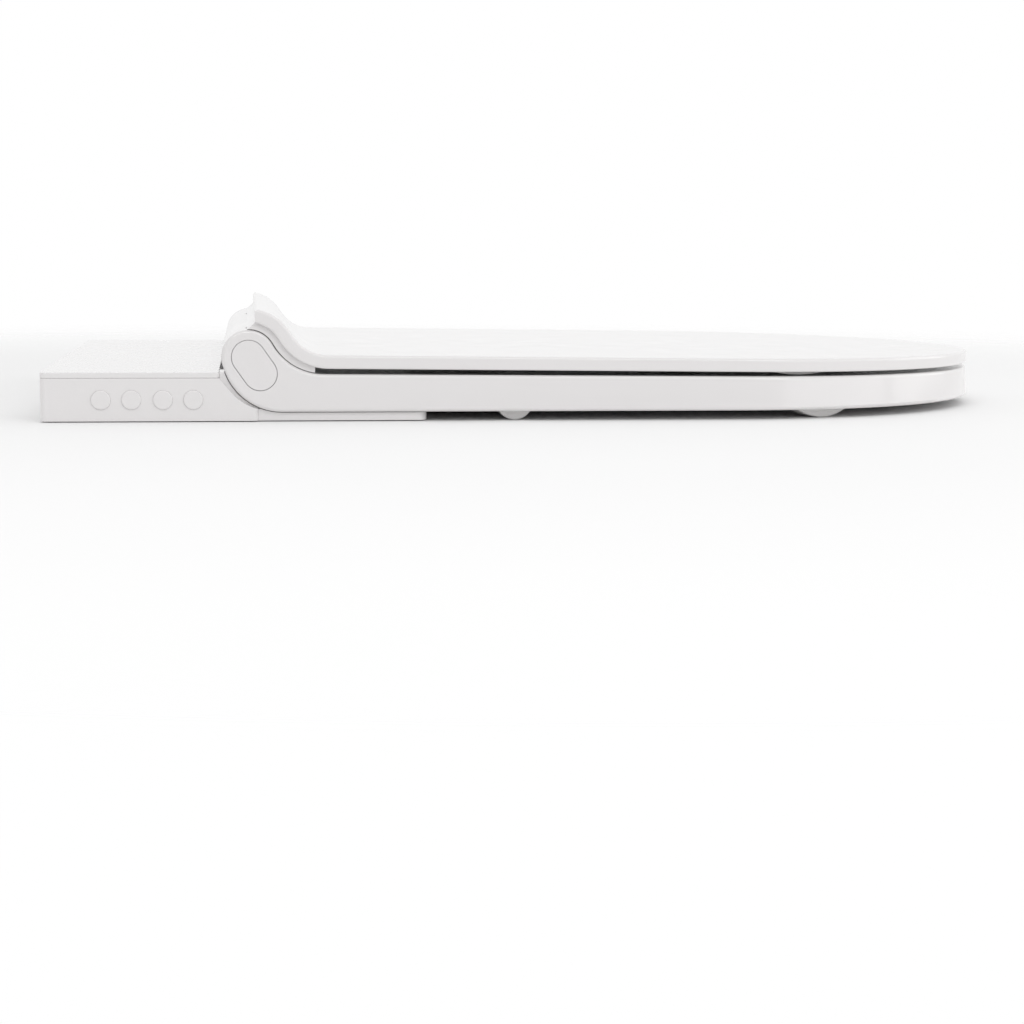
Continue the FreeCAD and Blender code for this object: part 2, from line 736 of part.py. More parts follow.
def housing_shell():
    """Walls of the housing: open at the bottom for the tray and at the top for the cover."""
    body = rounded(side_prism(housing_side, (-HALF, HALF)), HOUSING_CORNER, is_upright)
    body = rounded(body, SEAM_EDGE, lambda e: e.BoundBox.ZMin > HOUSING_TOP - 0.01)
    body = body.cut(side_prism(housing_room, (-HALF + WALL, HALF - WALL)))
    body = body.fuse([arm_rebate(), mirrored(arm_rebate())])
    through = (HOUSING_BACK - 5, HOUSING_BACK + 5)
    openings = [rod_x(BUTTON_R + BUTTON_GAP, (-HALF - 5, -HALF + 5), front, BUTTON_Z)
                for front in BUTTON_FRONTS]
    openings += [
        box((-BASE_HALF, BASE_HALF), (0, TOE[0] + 1), (0, TRAY_TOP)),
        rod_y(INLET_R + 3.0, INLET_X, through, INLET_Z),
        rod_y(CORD_R + 2.5, GLAND_X, through, GLAND_Z),
        box((HALF - 5, HALF + 5), RELEASE_FRONTS, RELEASE_Z),
        box((-BARREL_HALF - 0.3, BARREL_HALF + 0.3), (-14.5, 30), (TRAY_TOP, 30)),
    ]
    return body.cut(openings)


def arm_rebate():
    """Curved ledge in the housing's front wall that follows the ring's left arm closely."""
    x = (ARM_IN + 1, HALF - LEDGE_DEPTH)
    near = ARM_TAIL_R + ARM_GAP
    ledge = rod_x(near + LEDGE_THICK, x, *ARM_TAIL).cut(rod_x(near, (x[0] - 1, x[1] + 1), *ARM_TAIL))
    return ledge.common(box(x, (COVER_FRONT + SEAM, TOE[0]), (TRAY_TOP + 1, COVER_TOP - SEAM)))


def top_cover():
    """Cover plate with a lip that drops inside the walls and leaves a fine seam."""
    low = COVER_TOP - COVER_THICK
    plate = box((-HALF, HALF), (HOUSING_BACK, COVER_FRONT), (low, COVER_TOP))
    plate = rounded(plate, HOUSING_CORNER, is_upright)
    plate = rounded(plate, COVER_EDGE, lambda e: e.BoundBox.ZMin > COVER_TOP - 0.01)
    plate = rounded(plate, SEAM_EDGE, lambda e: e.BoundBox.ZMax < low + 0.01)
    lip_out, lip_in = WALL + 0.2, WALL + 1.8
    lip = box((-HALF + lip_out, HALF - lip_out), (HOUSING_BACK + lip_out, COVER_FRONT - 4), (low - 2.4, low))
    lip = lip.cut(box((-HALF + lip_in, HALF - lip_in), (HOUSING_BACK + lip_in, COVER_FRONT - 5.6),
                      (low - 5, low)))
    body = plate.fuse(lip)
    for x, front in SCREW_PLACES:
        boss = rod_z(3.4, x, front, (TRAY_TOP + 0.1, low + 0.5))
        body = body.fuse(boss).cut(rod_z(1.25, x, front, (0, 16)))
    return body


def base_tray():
    """Floor of the housing, with the low front part that shows under the ring."""
    room = WALL + 0.1
    join = TOE[0] - WALL - 0.4
    rear = box((-HALF + room, HALF - room), (HOUSING_BACK + room, join), (TRAY_BOTTOM, TRAY_TOP))
    toe = box((-BASE_HALF, BASE_HALF), (join, BASE_FRONT), (TRAY_BOTTOM, TRAY_TOP))
    toe = rounded(toe, BASE_CORNER, lambda e: is_upright(e) and in_front_of(e, 50))
    plate_room = box((-PLATE_HALF - 1, PLATE_HALF + 1), (PLATE_FRONTS[0] - 1, PLATE_FRONTS[1] + 0.5), (0, 10))
    body = rear.fuse([toe, base_rail(), mirrored(base_rail())]).removeSplitter().cut(plate_room)
    for x, front in SCREW_PLACES:
        body = body.cut([rod_z(1.6, x, front, (0, 10)), rod_z(3.2, x, front, (0, 1.8))])
    for x, front in PAD_PLACES:
        body = body.cut(rod_z(PAD_R, x, front, (0, PAD_THICK)))
    return body


def base_rail():
    """Raised left edge of the tray under the ring, curved up at the back like the ring's arm."""
    x = (BASE_HALF - 29.5, BASE_HALF)
    low = RING_BOTTOM - ARM_GAP
    rail = box(x, (TOE[0], BASE_FRONT), (TRAY_TOP, low))
    rail = rounded(rail, BASE_CORNER, lambda e: is_upright(e) and in_front_of(e, 50)
                   and e.BoundBox.XMin > HALF - 20)
    wedge = box(x, (TOE[0], ARM_TAIL[0]), (low, TOE[1])).cut(rod_x(ARM_TAIL_R + ARM_GAP, x, *ARM_TAIL))
    return rail.fuse(wedge)


def base_pads():
    """Rubber pads let into the tray; they carry the seat on the pan."""
    return [rod_z(PAD_R, x, front, (0, PAD_THICK)) for x, front in PAD_PLACES]


def base_screws():
    screws = []
    for x, front in SCREW_PLACES:
        head = rod_z(2.9, x, front, (0.7, 1.8))
        screws.append(head.fuse(rod_z(1.2, x, front, (1.8, 14))))
    return screws


def front_cover():
    """Cover over the nozzle, duct and motor, with openings in its front face."""
    half, wall = FRONT_COVER_HALF, FRONT_COVER_WALL
    back, front = FRONT_COVER_BACK, BASE_FRONT - 1.5

    def block(x, ends, low, drop):
        """Block under the ring's bridge, with a sloping top."""
        tops = [(end, bridge_floor(end) - BRIDGE_CLEAR - drop) for end in ends]
        return side_polygon([(ends[0], low), (ends[1], low), tops[1], tops[0]], x)

    outer = block((-half, half), (back, front), TRAY_TOP, 0.0)
    outer = rounded(outer, 4.0, lambda e: is_upright(e) and in_front_of(e, 50))
    inner = block((wall - half, half - wall), (back - 5, front - wall), TRAY_TOP - 1, wall - 0.2)
    through = (front - 5, front + 5)
    barrel_foot = box((53, 65), (0, 12), (0, 30))
    openings = [
        inner,
        rod_y(NOZZLE_R + 0.8, 0, through, NOZZLE_TIP_Z),
        box((3.0, 7.4), through, (NOZZLE_TIP_Z - 2.1, NOZZLE_TIP_Z + 2.1)),
        box(DUCT_X, through, DUCT_Z),
        barrel_foot,
        mirrored(barrel_foot),
    ]
    return outer.cut(openings)


def mounting_plate():
    """Plate that is bolted to the pan; the seat slides on to it."""
    body = box((-PLATE_HALF, PLATE_HALF), PLATE_FRONTS, (0, PLATE_THICK))
    body = rounded(body, 4.0, is_upright)
    reach = SLOT_LENGTH / 2 - SLOT_R
    for side in (-1, 1):
        centre = side * SLOT_X
        slot = Part.makeBox(2 * reach, 2 * SLOT_R, 10, Vector(centre - reach, -SLOT_R, -1))
        for end in (-reach, reach):
            slot = slot.fuse(Part.makeCylinder(SLOT_R, 10, Vector(centre + end, 0, -1)))
        body = body.cut(slot)
    notch = box((PLATE_HALF - 9, PLATE_HALF + 1), (-29, -21), (-1, 5))
    channel = box((PLATE_HALF - 9, PLATE_HALF - 4.3), (-29, 3), (-1, 5))
    return body.cut(notch).cut(channel)


def release_bar():
    """Push bar in the left side; its hook holds the seat on the mounting plate."""
    z = (RELEASE_Z[0] + 0.3, RELEASE_Z[1] - 0.3)
    bar = box((PLATE_HALF - 4, HALF + 0.5), (RELEASE_FRONTS[0] + 0.4, RELEASE_FRONTS[1] - 0.4), z)
    hook = box((PLATE_HALF - 4, PLATE_HALF - 0.5), (-28, -22), (0.6, z[0]))
    return bar.cut(box((150, HALF - WALL - 1), RELEASE_FRONTS, (z[0] - 1, z[0] + 1.5))).fuse(hook)


# --- controls ---
def side_button(front):
    """Round button with an inner flange that keeps it in the wall."""
    cap = rod_x(BUTTON_R, (-HALF - BUTTON_RAISED, -HALF + WALL + 0.6), front, BUTTON_Z)
    cap = rounded(cap, BUTTON_EDGE, lambda e: e.BoundBox.XMax < -HALF)
    flange = rod_x(7.2, (-HALF + WALL + 0.3, -HALF + WALL + 1.5), front, BUTTON_Z)
    stem = rod_x(2.4, (-HALF + WALL + 1.5, -HALF + WALL + 3.0), front, BUTTON_Z)
    return cap.fuse([flange, stem])


def keypad():
    """Rubber sheet with a dome behind each button."""
    body = box(KEYPAD_X, KEYPAD_FRONTS, KEYPAD_Z)
    for front in BUTTON_FRONTS:
        body = body.fuse(rod_x(3.4, (KEYPAD_X[0] - 1.2, KEYPAD_X[0]), front, BUTTON_Z))
    return body


def button_board():
    return box((KEYPAD_X[1], KEYPAD_X[1] + BOARD_THICK), KEYPAD_FRONTS, KEYPAD_Z)


def board(x, fronts, parts):
    """Circuit board with blocks standing on it, each as (x, front, size x, size y, height)."""
    body = box(x, fronts, (BOARD_TOP - BOARD_THICK, BOARD_TOP))
    for px, pf, sx, sy, height in parts:
        body = body.fuse(box((px, px + sx), (pf, pf + sy), (BOARD_TOP, BOARD_TOP + height)))
    return body.cut([rod_z(1.6, px, pf, (0, 30)) for px, pf in post_places(x, fronts)])


def post_places(x, fronts):
    """Where a board stands on its posts: just in from its four corners."""
    return [(px, pf) for px in (x[0] + POST_INSET, x[1] - POST_INSET)
            for pf in (fronts[0] + POST_INSET, fronts[1] - POST_INSET)]


def control_board():
    chips = [(-92, -92, 14, 14, 2), (-70, -92, 10, 10, 2), (-96, -72, 20, 7, 8), (-66, -70, 12, 8, 8),
             (-88, -62, 6, 6, 6), (-56, -90, 5, 18, 7)]
    return board(CONTROL_X, CONTROL_FRONTS, chips)


def power_supply():
    blocks = [(-160, -92, 24, 20, 13), (-130, -92, 10, 16, 10), (-160, -64, 12, 12, 11),
              (-142, -62, 16, 9, 9), (-122, -68, 5, 18, 12)]
    return board(SUPPLY_X, SUPPLY_FRONTS, blocks)


def board_posts():
    """Stand-offs moulded as separate posts, with a screw spigot through each board hole."""
    posts = []
    shelf = BOARD_TOP - BOARD_THICK
    for px, pf in post_places(CONTROL_X, CONTROL_FRONTS) + post_places(SUPPLY_X, SUPPLY_FRONTS):
        post = rod_z(3.0, px, pf, (TRAY_TOP, shelf))
        posts.append(post.fuse(rod_z(1.4, px, pf, (shelf, BOARD_TOP + 1.0))))
    return posts


def cable_gland():
    """Grommet in the rear wall that the mains cord comes through."""
    flange = rod_y(CORD_R + 4.4, GLAND_X, (HOUSING_BACK + WALL, HOUSING_BACK + WALL + 1.6), GLAND_Z)
    neck = rod_y(CORD_R + 2.4, GLAND_X, (HOUSING_BACK, HOUSING_BACK + WALL + 12), GLAND_Z)
    body = neck.fuse(flange)
    return body.cut(rod_y(CORD_R, GLAND_X, (HOUSING_BACK - 5, HOUSING_BACK + 40), GLAND_Z))


# --- water ---
def water_inlet():
    """Threaded inlet spigot in a round recess of the rear wall."""
    back = HOUSING_BACK + 1.0
    spigot = rod_y(INLET_R, INLET_X, (back, back + 14), INLET_Z)
    flange = box((INLET_X - 10, INLET_X + 10), (back + 14, back + 17), (TRAY_TOP + 0.2, 22.5))
    bores = [rod_y(5.6, INLET_X, (back - 1, back + 14), INLET_Z),
             rod_y(3.0, INLET_X, (back + 10, back + 20), INLET_Z)]
    return spigot.fuse(flange).cut(bores)


def inlet_strainer():
    """Fine filter basket inside the inlet."""
    back = HOUSING_BACK + 3.0
    cup = rod_y(5.5, INLET_X, (back, back + 11.5), INLET_Z)
    return cup.cut(rod_y(4.7, INLET_X, (back - 1, back + 10.5), INLET_Z))


def solenoid_valve():
    body = box((INLET_X - 11, INLET_X + 11), (-99.8, -78), (6, 20))
    coil = rod_x(7.5, (INLET_X + 11, INLET_X + 27), -88, INLET_Z)
    return body.fuse(coil)


def flow_meter():
    body = rod_z(9.0, 125, -60, (5, 16))
    return body.fuse(rod_y(3.5, 125, (-76, -45), 12))


def water_heater():
    body = box((30, 92), (-106, -52), (4.0, 19.5))
    return rounded(body, 3.0, is_upright)


def water_pump():
    motor = rod_y(8.0, 108, (-110, -84), 12)
    head = box((98, 118), (-84, -66), (4, 20))
    return motor.fuse(head)


def hoses():
    """Short hoses from valve to meter, pump and heater, and on to the nozzle."""
    r, bend = 2.5, 6.0
    return [
        tube([at(INLET_X - 11, -88, 12), at(125, -88, 12), at(125, -76, 12)], r, bend),
        tube([at(125, -45, 12), at(125, -36, 12), at(108, -36, 12), at(108, -66, 12)], r, bend),
        rod_x(r, (92, 98), -75, 12),
        tube([at(30, -64, 14), at(22, -64, 14), at(22, -46, 14), at(8, -46, 14)], 2.0, 4.0),
    ]


# --- nozzle ---
def nozzle_frame(shape):
    """Tilt a piece drawn level about the nozzle's tip."""
    copy = shape.copy()
    copy.rotate(at(0, NOZZLE_TIP, NOZZLE_TIP_Z), Vector(1, 0, 0), NOZZLE_TILT)
    return copy


def wash_nozzle():
    """Sliding tube with its waterway."""
    body = rod_y(NOZZLE_R, 0, (NOZZLE_REAR, NOZZLE_TIP - 16), NOZZLE_TIP_Z)
    return nozzle_frame(body.cut(rod_y(2.0, 0, (NOZZLE_REAR - 1, NOZZLE_TIP), NOZZLE_TIP_Z)))


def nozzle_tip():
    """Removable head with spray holes on its underside."""
    body = rod_y(NOZZLE_R, 0, (NOZZLE_TIP - 16, NOZZLE_TIP), NOZZLE_TIP_Z)
    body = rounded(body, 1.5, lambda e: HINGE_Y - e.BoundBox.YMax > NOZZLE_TIP - 1)
    body = body.cut(rod_y(1.5, 0, (NOZZLE_TIP - 17, NOZZLE_TIP - 4), NOZZLE_TIP_Z))
    for back in (5.0, 7.5, 10.0):
        body = body.cut(rod_z(0.5, 0, NOZZLE_TIP - back, (0, NOZZLE_TIP_Z)))
    return nozzle_frame(body)


def flat_piece(outline, z):
    """Extrude a closed plan outline of points from z[0] to z[1]."""
    corners = [Vector(x, y, z[0]) for x, y in outline]
    return Part.Face(Part.makePolygon(corners + corners[:1])).extrude(Vector(0, 0, z[1] - z[0]))


def nozzle_rack():
    """Toothed strip on the nozzle's side; its teeth lean 20 degrees and leave backlash."""
    pitch = math.pi * TOOTH_MODULE
    back, root, tip = 2.6, RACK_PITCH_X - 1.0, RACK_PITCH_X + 0.7
    first, last = NOZZLE_REAR + 1, PINION_FRONT + 10
    lean = math.tan(math.radians(20))
    half = pitch / 4 - BACKLASH
    wide, slim = half + lean * (RACK_PITCH_X - root), half - lean * (tip - RACK_PITCH_X)
    outline = [(back, HINGE_Y - last), (back, HINGE_Y - first), (root, HINGE_Y - first)]
    steps = math.floor((PINION_FRONT + pitch / 2 - first) / pitch)
    middle = PINION_FRONT + pitch / 2 - steps * pitch
    while middle + wide < last:
        if middle - wide > first:
            y = HINGE_Y - middle
            outline += [(root, y + wide), (tip, y + slim), (tip, y - slim), (root, y - wide)]
        middle += pitch
    outline.append((root, HINGE_Y - last))
    strip = flat_piece(outline, (NOZZLE_TIP_Z - 1.3, NOZZLE_TIP_Z + 1.3))
    return nozzle_frame(strip.cut(rod_y(NOZZLE_R, 0, (NOZZLE_REAR - 5, NOZZLE_TIP), NOZZLE_TIP_Z)))


def nozzle_pinion():
    """Gear on the nozzle motor's shaft, with one tooth space on the rack's centre line."""
    root_r, tip_r = PITCH_R - 0.95, PITCH_R + 0.6
    z = (NOZZLE_TIP_Z - 1.2, NOZZLE_TIP_Z + 1.2)
    body = rod_z(root_r, PINION_X, PINION_FRONT, z)
    half = math.pi * TOOTH_MODULE / 4 - BACKLASH
    lean = math.tan(math.radians(24))
    flank = [(root_r - 0.4, half + lean * 0.95), (PITCH_R, half * 0.98), (tip_r, half - lean * 0.6 - 0.08)]
    side = flank + [(r, -w) for r, w in reversed(flank)]
    for i in range(PINION_TEETH):
        turn = math.radians(180 + 360 / PINION_TEETH * i)
        ahead, across = Vector(math.cos(turn), math.sin(turn), 0), Vector(-math.sin(turn), math.cos(turn), 0)
        points = [at(PINION_X, PINION_FRONT, 0) + ahead * r + across * w for r, w in side]
        body = body.fuse(flat_piece([(p.x, p.y) for p in points], z))
    shaft = rod_z(1.0, PINION_X, PINION_FRONT, (z[0] - 3.0, z[0]))
    return nozzle_frame(body.fuse(shaft))


def nozzle_motor():
    """Flat stepper motor under the pinion."""
    low, high = NOZZLE_TIP_Z - 6.0, NOZZLE_TIP_Z - 1.6
    body = rod_z(9.0, PINION_X + 3.0, PINION_FRONT, (low, high))
    body = body.cut(rod_z(1.05, PINION_X, PINION_FRONT, (low + 0.5, high + 1)))
    return nozzle_frame(body)


def nozzle_guide():
    """Cradle with two side rails that the nozzle slides in."""
    outer = box((-6.5, 3.4), (-50, 98), (NOZZLE_TIP_Z - 4.85, NOZZLE_TIP_Z + 1.0))
    outer = outer.fuse(box((-6.5, -3.0), (-50, 98), (NOZZLE_TIP_Z, NOZZLE_TIP_Z + 3.5)))
    body = outer.cut(rod_y(NOZZLE_R + 0.35, 0, (-60, 110), NOZZLE_TIP_Z))
    body = body.cut(box((1.8, 10), (-60, 110), (NOZZLE_TIP_Z - 2.0, NOZZLE_TIP_Z + 8)))
    return nozzle_frame(body)


# --- dryer ---
def fan_housing():
    """Round fan case with an outlet towards the duct."""
    room_z = (FAN_Z[0] + FAN_WALL, FAN_Z[1] - FAN_WALL)
    outlet = (-35, -15)
    room_x = (outlet[0] + FAN_WALL, outlet[1] - FAN_WALL)
    outer = rod_z(FAN_R, FAN_X, FAN_FRONT, FAN_Z).fuse(box(outlet, (FAN_FRONT, DUCT_BACK), FAN_Z))
    inner = rod_z(FAN_R - FAN_WALL, FAN_X, FAN_FRONT, room_z)
    inner = inner.fuse(box(room_x, (FAN_FRONT, DUCT_BACK + 2), room_z))
    eye = rod_z(12.0, FAN_X, FAN_FRONT, (FAN_Z[1] - 2, FAN_Z[1] + 1))
    return outer.cut([inner, eye])


def fan_wheel():
    """Centrifugal wheel: a disc, a hub and a ring of blades."""
    z = (FAN_Z[0] + 3.0, FAN_Z[1] - 2.5)
    body = rod_z(21.0, FAN_X, FAN_FRONT, (z[0], z[0] + 1.2))
    body = body.fuse(rod_z(10.0, FAN_X, FAN_FRONT, (z[0], z[0] + 7.0)))
    for i in range(BLADES):
        blade = Part.makeBox(6.5, 0.9, z[1] - z[0] - 0.6, Vector(14.0, -0.45, z[0] + 0.6))
        blade.rotate(Vector(14, 0, 0), Vector(0, 0, 1), 28)
        body = body.fuse(placed(blade, FAN_X, FAN_FRONT, 360 / BLADES * i))
    return body.cut(rod_z(8.6, FAN_X, FAN_FRONT, (z[0] - 1, z[0] + 5.6)))


def fan_motor():
    """Motor inside the wheel's hub, standing on the case's floor."""
    low = FAN_Z[0] + FAN_WALL
    return rod_z(8.0, FAN_X, FAN_FRONT, (low, low + 6.0))


def air_duct():
    """Flat duct from the fan to the opening beside the nozzle."""
    outer = box(DUCT_X, (DUCT_BACK, BASE_FRONT - 3.6), DUCT_Z)
    room_z = (DUCT_Z[0] + 1, DUCT_Z[1] - 1)
    inner = box((DUCT_X[0] + 1, DUCT_X[1] - 1), (DUCT_BACK - 8, BASE_FRONT + 5), room_z)
    return outer.cut(inner)


NODES = {
    "housing_shell": lambda: [housing_shell()],
    "top_cover": lambda: [top_cover()],
    "hinge_barrel": lambda: [hinge_barrel()],
    "base_tray": lambda: [base_tray()],
    "front_cover": lambda: [front_cover()],
    "base_pads": base_pads,
    "base_screws": base_screws,
    "mounting_plate": lambda: [mounting_plate()],
    "release_bar": lambda: [release_bar()],
    "seat_ring": lambda: [seat_ring()],
    "ring_underside": lambda: [ring_underside()],
    "ring_screws": ring_screws,
    "ring_buffers": ring_buffers,
    "seat_heater": lambda: [seat_heater()],
    "hinge_caps": hinge_caps,
    "seat_hinge_shaft": lambda: [seat_hinge_shaft()],
    "seat_damper": lambda: [seat_damper()],
    "lid": lambda: [lid()],
    "lid_buffers": lid_buffers,
    "lid_hinge_pin": lambda: [lid_hinge_pin()],
    "lid_damper": lambda: [lid_damper()],
    "lid_bushes": lid_bushes,
    "keypad": lambda: [keypad()],
    "button_board": lambda: [button_board()],
    "control_board": lambda: [control_board()],
    "power_supply": lambda: [power_supply()],
    "board_posts": board_posts,
    "cable_gland": lambda: [cable_gland()],
    "water_inlet": lambda: [water_inlet()],
    "inlet_strainer": lambda: [inlet_strainer()],
    "solenoid_valve": lambda: [solenoid_valve()],
    "flow_meter": lambda: [flow_meter()],
    "water_heater": lambda: [water_heater()],
    "water_pump": lambda: [water_pump()],
    "hoses": hoses,
    "nozzle_guide": lambda: [nozzle_guide()],
    "wash_nozzle": lambda: [wash_nozzle()],
    "nozzle_tip": lambda: [nozzle_tip()],
    "nozzle_rack": lambda: [nozzle_rack()],
    "nozzle_pinion": lambda: [nozzle_pinion()],
    "nozzle_motor": lambda: [nozzle_motor()],
    "fan_housing": lambda: [fan_housing()],
    "fan_wheel": lambda: [fan_wheel()],
    "fan_motor": lambda: [fan_motor()],
    "air_duct": lambda: [air_duct()],
}

for number, place in enumerate(BUTTON_FRONTS, 1):
    NODES["side_button_%d" % number] = lambda place=place: [side_button(place)]

for name, make in NODES.items():
    save(name, *make())
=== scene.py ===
"""Electric bidet seat: materials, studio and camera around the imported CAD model."""
import json
import math

import bpy
from mathutils import Matrix, Vector


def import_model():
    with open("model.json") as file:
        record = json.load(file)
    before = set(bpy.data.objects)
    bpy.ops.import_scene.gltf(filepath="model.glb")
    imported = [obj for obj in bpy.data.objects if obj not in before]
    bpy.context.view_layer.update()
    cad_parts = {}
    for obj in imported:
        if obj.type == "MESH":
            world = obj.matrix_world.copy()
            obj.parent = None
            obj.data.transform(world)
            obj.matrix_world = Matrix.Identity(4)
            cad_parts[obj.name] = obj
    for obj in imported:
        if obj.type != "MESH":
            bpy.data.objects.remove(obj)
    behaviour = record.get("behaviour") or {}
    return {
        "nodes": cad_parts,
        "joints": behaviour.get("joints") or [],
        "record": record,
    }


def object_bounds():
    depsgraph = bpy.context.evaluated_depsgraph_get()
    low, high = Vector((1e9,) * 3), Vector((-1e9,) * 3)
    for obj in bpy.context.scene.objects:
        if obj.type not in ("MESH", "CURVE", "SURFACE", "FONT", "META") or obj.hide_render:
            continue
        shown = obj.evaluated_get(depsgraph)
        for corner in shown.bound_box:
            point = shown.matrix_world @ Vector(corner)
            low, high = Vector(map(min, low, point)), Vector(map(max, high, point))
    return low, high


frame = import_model()
cad_low, cad_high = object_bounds()
nodes = frame["nodes"]

# --- tones of the materials, as linear red, green and blue ---
WHITE = (0.757, 0.741, 0.741)
BUFFER_WHITE = (0.84, 0.83, 0.82)
PAD_GREY = (0.16, 0.16, 0.165)
NATURAL_PLASTIC = (0.60, 0.60, 0.58)
BLACK_PLASTIC = (0.025, 0.025, 0.028)
DAMPER_GREY = (0.30, 0.31, 0.33)
STEEL = (0.56, 0.56, 0.57)
COPPER = (0.72, 0.42, 0.24)
HOSE_DARK, HOSE_LIGHT = (0.62, 0.68, 0.70), (0.74, 0.79, 0.80)
FLOOR_DARK, FLOOR_LIGHT = (0.88, 0.88, 0.88), (0.90, 0.90, 0.90)
BOARD_GREEN, BOARD_GREEN_LIGHT = (0.012, 0.10, 0.045), (0.016, 0.13, 0.055)
BOARD_TRACK = (0.05, 0.22, 0.09)

# --- where noise turns from the darker tone into the lighter one ---
RAMP_FROM, RAMP_TO = 0.3, 0.7

# --- studio, lengths in metres ---
FLOOR_RADIUS = 1.25
FLOOR_FADE = 0.4                       # radius from which the floor fades out
FLOOR_SIDES = 96
SKY_LEVEL = 0.78                       # strength of the surroundings before the lean
SKY_LEAN = (0.15, 0.0, 0.12)           # what is added towards +X, +Y and +Z
SOFTBOXES = {
    "front_right_box": {"turn": 51, "distance": 2.5, "height": 0.75, "size": (2.1, 1.5), "radiance": 0.72},
    "front_box": {"turn": 95, "distance": 2.5, "height": 0.75, "size": (1.7, 1.5), "radiance": 0.9},
    "side_box": {"turn": 0, "distance": 2.0, "height": 1.9, "size": (3.2, 0.7), "radiance": 2.3},
}

# --- camera ---
CAMERA_FROM_HINGE = (-1.394, 0.0, 0.0683)
CAMERA_TURN = (7.232, 7.465, 0.407)    # yaw, pitch and roll in degrees
LENS = 73.23                           # focal length and sensor in millimetres
SENSOR_WIDTH = 36.0
CLIP_START = 0.05


# --- shader helpers ---
def darker(tone, share):
    return [channel * share for channel in tone]


def opaque(tone):
    return (*tone, 1)


class Shader:
    """A material's node tree with short ways to add and link nodes."""

    def __init__(self, name, **sockets):
        self.material = bpy.data.materials.new(name)
        self.material.use_nodes = True
        self.tree = self.material.node_tree
        self.bsdf = self.tree.nodes["Principled BSDF"]
        for socket, value in sockets.items():
            self.bsdf.inputs[socket.replace("_", " ")].default_value = value
        self.coords = self.add("ShaderNodeTexCoord").outputs["Object"]

    def add(self, kind, **settings):
        node = self.tree.nodes.new(kind)
        for key, value in settings.items():
            setattr(node, key, value)
        return node

    def link(self, source, target):
        self.tree.links.new(source, target)

    def noise(self, scale, detail=2.0, stretch=None):
        """Noise with this many waves per metre, finer along some axes if a stretch is given."""
        node = self.add("ShaderNodeTexNoise")
        node.inputs["Scale"].default_value = scale
        node.inputs["Detail"].default_value = detail
        source = self.coords
        if stretch:
            mapping = self.add("ShaderNodeMapping")
            mapping.inputs["Scale"].default_value = stretch
            self.link(source, mapping.inputs["Vector"])
            source = mapping.outputs["Vector"]
        self.link(source, node.inputs["Vector"])
        return node.outputs["Fac"]

    def blend_colour(self, mask, dark, light):
        """Base colour that wanders between two tones."""
        ramp = self.add("ShaderNodeValToRGB")
        first, last = ramp.color_ramp.elements
        first.position = RAMP_FROM
        first.color = opaque(dark)
        last.position = RAMP_TO
        last.color = opaque(light)
        self.link(mask, ramp.inputs["Fac"])
        self.link(ramp.outputs["Color"], self.bsdf.inputs["Base Color"])

    def vary_roughness(self, mask, low, high):
        span = self.add("ShaderNodeMapRange")
        span.inputs["To Min"].default_value = low
        span.inputs["To Max"].default_value = high
        self.link(mask, span.inputs["Value"])
        self.link(span.outputs["Result"], self.bsdf.inputs["Roughness"])

    def bump(self, mask, height, strength):
        node = self.add("ShaderNodeBump")
        node.inputs["Strength"].default_value = strength
        node.inputs["Distance"].default_value = height
        self.link(mask, node.inputs["Height"])
        self.link(node.outputs["Normal"], self.bsdf.inputs["Normal"])


# --- materials ---
def gloss_white(name, roughness):
    """Glossy moulded plastic: faint tone drift, fine orange peel and a clear surface."""
    shader = Shader(name, IOR=1.5, Coat_Weight=0.4, Coat_Roughness=0.03)
    drift = shader.noise(scale=9.0, detail=3.0)
    shader.blend_colour(drift, dark=darker(WHITE, 0.985), light=WHITE)
    shader.vary_roughness(shader.noise(scale=60.0), low=roughness - 0.03, high=roughness + 0.04)
    shader.bump(shader.noise(scale=110.0, detail=1.0), height=0.000006, strength=0.05)
    return shader.material


def satin(name, tone, roughness):
    """Matt moulded plastic or rubber with a fine grain."""
    shader = Shader(name, IOR=1.48)
    shader.blend_colour(shader.noise(scale=25.0), dark=darker(tone, 0.94), light=tone)
    shader.vary_roughness(shader.noise(scale=80.0), low=roughness - 0.05, high=roughness + 0.06)
    shader.bump(shader.noise(scale=900.0), height=0.00004, strength=0.6)
    return shader.material


def metal(name, tone, roughness, stretch):
    """Turned, brushed or rolled metal with fine lines along the axis that isn't stretched."""
    shader = Shader(name, Metallic=1.0)
    lines = shader.noise(scale=60.0, detail=4.0, stretch=stretch)
    shader.blend_colour(lines, dark=darker(tone, 0.85), light=tone)
    shader.vary_roughness(lines, low=roughness - 0.08, high=roughness + 0.1)
    shader.bump(lines, height=0.00002, strength=0.4)
    return shader.material


def circuit_board():
    """Green coated board with lighter tracks under the lacquer."""
    shader = Shader("board_green", IOR=1.5)
    tracks = shader.add("ShaderNodeTexBrick")
    tracks.inputs["Scale"].default_value = 120.0
    tracks.inputs["Mortar Size"].default_value = 0.03
    tracks.inputs["Color1"].default_value = opaque(BOARD_GREEN)
    tracks.inputs["Color2"].default_value = opaque(BOARD_GREEN_LIGHT)
    tracks.inputs["Mortar"].default_value = opaque(BOARD_TRACK)
    shader.link(shader.coords, tracks.inputs["Vector"])
    shader.link(tracks.outputs["Color"], shader.bsdf.inputs["Base Color"])
    shader.vary_roughness(shader.noise(scale=90.0), low=0.25, high=0.4)
    return shader.material


def soft_tube():
    """Milky flexible hose."""
    shader = Shader("hose_clear", IOR=1.45, Transmission_Weight=0.35)
    shader.blend_colour(shader.noise(scale=40.0), dark=HOSE_DARK, light=HOSE_LIGHT)
    shader.vary_roughness(shader.noise(scale=70.0), low=0.22, high=0.34)
    return shader.material


